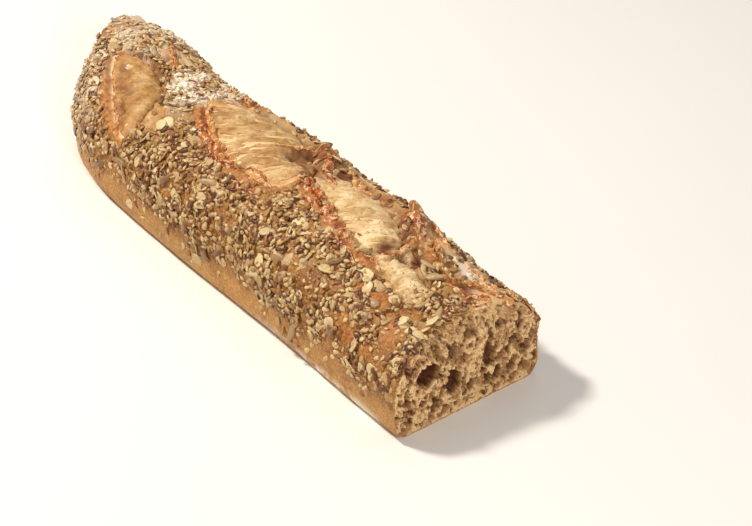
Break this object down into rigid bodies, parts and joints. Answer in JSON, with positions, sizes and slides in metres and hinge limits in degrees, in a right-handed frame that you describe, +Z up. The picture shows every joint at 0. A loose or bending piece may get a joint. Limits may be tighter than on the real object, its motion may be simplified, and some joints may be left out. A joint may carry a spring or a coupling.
{
  "type": "seeded baguette",
  "caption": "Long crusty bread strewn with seeds and oat flakes, torn slashes along its top, cut off square at its near end to show an open crumb.",
  "frame": {"origin": "under the middle of the loaf's box, on the surface the loaf lies on", "axes": "+X towards the cut end and -X towards the rounded tip, +Z up, -Y the long side that is thickest with seeds"},
  "size_m": [0.35, 0.1053, 0.0618],
  "materials": {
    "crust": "baked crust with seeds, dry and matt"
  },
  "bodies": {
    "root": {"baguette": "crust"}
  },
  "joints": []
}
